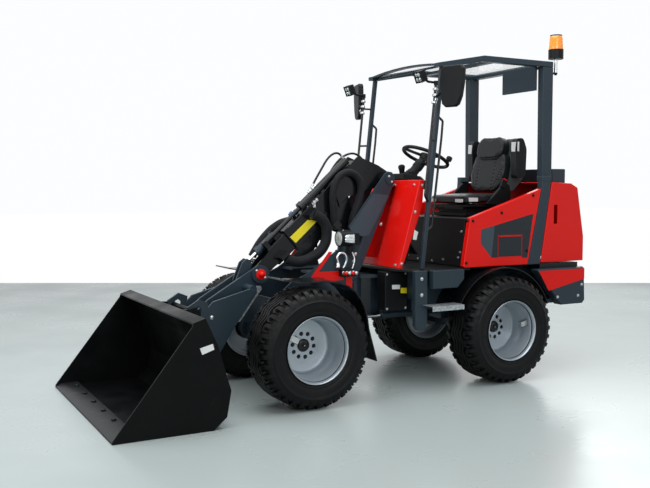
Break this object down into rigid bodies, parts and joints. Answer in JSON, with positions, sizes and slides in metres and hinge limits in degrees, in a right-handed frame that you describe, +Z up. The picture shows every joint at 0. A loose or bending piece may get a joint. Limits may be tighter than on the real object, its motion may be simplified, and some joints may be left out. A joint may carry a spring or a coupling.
{
  "type": "mini wheel loader",
  "caption": "Compact articulated wheel loader with an open cab frame, telescopic boom, bucket, four lugged tyres and an electric drive pack.",
  "frame": {"origin": "on the floor under the middle of the machine's bounding box", "axes": "+X forward, +Y to the operator's left, +Z up"},
  "size_m": [3.6, 1.5, 2.458],
  "materials": {
    "red_paint": "gloss powder coat",
    "slate_paint": "satin powder coat",
    "silver_paint": "satin wheel lacquer",
    "black_paint": "gloss black paint",
    "tread_rubber": "moulded tyre rubber",
    "hose_rubber": "hose rubber",
    "black_plastic": "moulded, lightly grained",
    "seat_vinyl": "grained vinyl",
    "clear_sheet": "clear polycarbonate",
    "lamp_lens": "clear moulded lens",
    "amber_lens": "amber moulded lens",
    "zinc_steel": "galvanised",
    "pin_steel": "turned steel",
    "chrome_rod": "hard chrome",
    "battery_case": "plain casing"
  },
  "bodies": {
    "chassis": {"articulation_pin": "pin_steel", "battery_pack": "battery_case", "beacon": "amber_lens", "dashboard": "black_plastic", "floor_plate": "black_plastic", "front_posts": "slate_paint", "front_shield": "red_paint", "handrails": "black_paint", "mirrors": "black_plastic", "rear_axle": "slate_paint", "rear_bumper": "slate_paint", "rear_fenders": "black_plastic", "rear_frame": "slate_paint", "rear_posts": "slate_paint", "roof_frame": "slate_paint", "roof_panel": "clear_sheet", "seat_backrest": "seat_vinyl", "seat_base": "black_plastic", "seat_box": "black_plastic", "seat_cushion": "seat_vinyl", "side_boxes": "black_plastic", "side_panels": "red_paint", "steps": "zinc_steel", "work_lamps": "black_plastic"},
    "front_chassis": {"front_frame": "slate_paint", "mast": "slate_paint", "front_axle": "slate_paint", "front_fenders": "black_plastic", "headlamps": "lamp_lens", "valve_block": "zinc_steel"},
    "boom": {"outer_boom": "black_paint", "loop_hose": "hose_rubber", "under_hose": "hose_rubber", "far_hose": "hose_rubber", "front_arch_hose": "hose_rubber", "rear_arch_hose": "hose_rubber"},
    "boom_extension": {"inner_boom": "black_paint"},
    "head": {"head_pins": "pin_steel"},
    "tool": {"tool_carrier": "slate_paint", "bucket": "black_paint"},
    "lift_cylinder": {"lift_barrel": "slate_paint"},
    "lift_piston_rod": {"lift_rod": "chrome_rod"},
    "tilt_cylinder": {"tilt_barrel": "slate_paint"},
    "tilt_stage": {"tilt_piston": "pin_steel"},
    "tilt_piston_rod": {"tilt_rod": "chrome_rod"},
    "steer_cylinder": {"steer_barrel": "slate_paint"},
    "steer_piston_rod": {"steer_rod": "chrome_rod"},
    "steering": {"steering_wheel": "black_plastic"},
    "hood": {"rear_hood": "red_paint", "air_box": "black_paint"},
    "flap": {"charge_flap": "red_paint"},
    "wheel_front_left": {"tyre_front_left": "tread_rubber", "rim_front_left": "silver_paint"},
    "wheel_front_right": {"tyre_front_right": "tread_rubber", "rim_front_right": "silver_paint"},
    "wheel_rear_left": {"tyre_rear_left": "tread_rubber", "rim_rear_left": "silver_paint"},
    "wheel_rear_right": {"tyre_rear_right": "tread_rubber", "rim_rear_right": "silver_paint"}
  },
  "joints": [
    {"name": "articulation", "type": "hinge", "parent": "chassis", "child": "front_chassis", "pos_m": [-0.11, 0, 0.6], "axis": [0, 0, 1], "range_deg": [-38, 38]},
    {"name": "boom_lift", "type": "hinge", "parent": "front_chassis", "child": "boom", "pos_m": [-0.32, 0, 1.412], "axis": [0, -1, 0], "range_deg": [0, 80], "deforming": ["loop_hose"]},
    {"name": "boom_extend", "type": "slide", "parent": "boom", "child": "boom_extension", "axis": [0.7431, 0, -0.6691], "range_m": [0, 0.42], "deforming": ["under_hose", "far_hose"]},
    {"name": "head_level", "type": "hinge", "parent": "boom_extension", "child": "head", "pos_m": [0.64622, 0, 0.78961], "axis": [0, -1, 0], "range_deg": [-80, 0]},
    {"name": "bucket_tilt", "type": "hinge", "parent": "head", "child": "tool", "pos_m": [0.64622, 0, 0.78961], "axis": [0, 1, 0], "range_deg": [-38, 35]},
    {"name": "lift_cylinder_swing", "type": "hinge", "parent": "front_chassis", "child": "lift_cylinder", "pos_m": [0.09, 0, 0.33], "axis": [0, -1, 0], "range_deg": [-8.43, 0]},
    {"name": "lift_rod_slide", "type": "slide", "parent": "lift_cylinder", "child": "lift_piston_rod", "axis": [-0.1816, 0, 0.9834], "range_m": [0, 0.5198]},
    {"name": "tilt_cylinder_swing", "type": "hinge", "parent": "boom_extension", "child": "tilt_cylinder", "pos_m": [0.51174, 0, 1.03853], "axis": [0, 1, 0], "range_deg": [0, 13]},
    {"name": "tilt_stage_slide", "type": "slide", "parent": "tilt_cylinder", "child": "tilt_stage", "axis": [0.7431, 0, -0.6691], "range_m": [0, 0.10001]},
    {"name": "tilt_rod_slide", "type": "slide", "parent": "tilt_stage", "child": "tilt_piston_rod", "axis": [0.7431, 0, -0.6691], "range_m": [-0.04179, 0.03849]},
    {"name": "steer_cylinder_swing", "type": "hinge", "parent": "chassis", "child": "steer_cylinder", "pos_m": [-0.59, 0.17, 0.472], "axis": [0, 0, 1], "range_deg": [-5.21, 5.21]},
    {"name": "steer_rod_slide", "type": "slide", "parent": "steer_cylinder", "child": "steer_piston_rod", "axis": [1, 0, 0], "range_m": [-0.10764, 0.10764]},
    {"name": "steering_turn", "type": "hinge", "parent": "chassis", "child": "steering", "pos_m": [-0.715, 0, 1.575], "axis": [-0.4226, 0, 0.9063], "range_deg": [-608, 608]},
    {"name": "hood_open", "type": "hinge", "parent": "chassis", "child": "hood", "pos_m": [-1.534, 0, 1.386], "axis": [0, 1, 0], "range_deg": [0, 60]},
    {"name": "flap_open", "type": "hinge", "parent": "chassis", "child": "flap", "pos_m": [-1.094, 0.501, 1.011], "axis": [1, 0, 0], "range_deg": [0, 100]},
    {"name": "roll_front_left", "type": "hinge", "parent": "front_chassis", "child": "wheel_front_left", "pos_m": [0.5175, 0.504, 0.3685], "axis": [0, 1, 0], "continuous": true},
    {"name": "roll_front_right", "type": "hinge", "parent": "front_chassis", "child": "wheel_front_right", "pos_m": [0.5175, -0.504, 0.3685], "axis": [0, 1, 0], "continuous": true},
    {"name": "roll_rear_left", "type": "hinge", "parent": "chassis", "child": "wheel_rear_left", "pos_m": [-0.9975, 0.504, 0.3685], "axis": [0, 1, 0], "continuous": true},
    {"name": "roll_rear_right", "type": "hinge", "parent": "chassis", "child": "wheel_rear_right", "pos_m": [-0.9975, -0.504, 0.3685], "axis": [0, 1, 0], "continuous": true}
  ],
  "couplings": [
    {"joint": "head_level", "follows": "boom_lift", "ratio": -1},
    {"joint": "lift_cylinder_swing", "follows": "boom_lift", "ratio": -0.10538},
    {"joint": "lift_rod_slide", "follows": "boom_lift", "m_per_rad": 0.37227},
    {"joint": "tilt_cylinder_swing", "follows": "boom_lift", "ratio": 0.1625},
    {"joint": "tilt_stage_slide", "follows": "boom_lift", "m_per_rad": 0.07162},
    {"joint": "tilt_rod_slide", "follows": "bucket_tilt", "m_per_rad": 0.063},
    {"joint": "steer_cylinder_swing", "follows": "articulation", "ratio": 0.13719},
    {"joint": "steer_rod_slide", "follows": "articulation", "m_per_rad": -0.16228},
    {"joint": "steering_turn", "follows": "articulation", "ratio": 16}
  ]
}
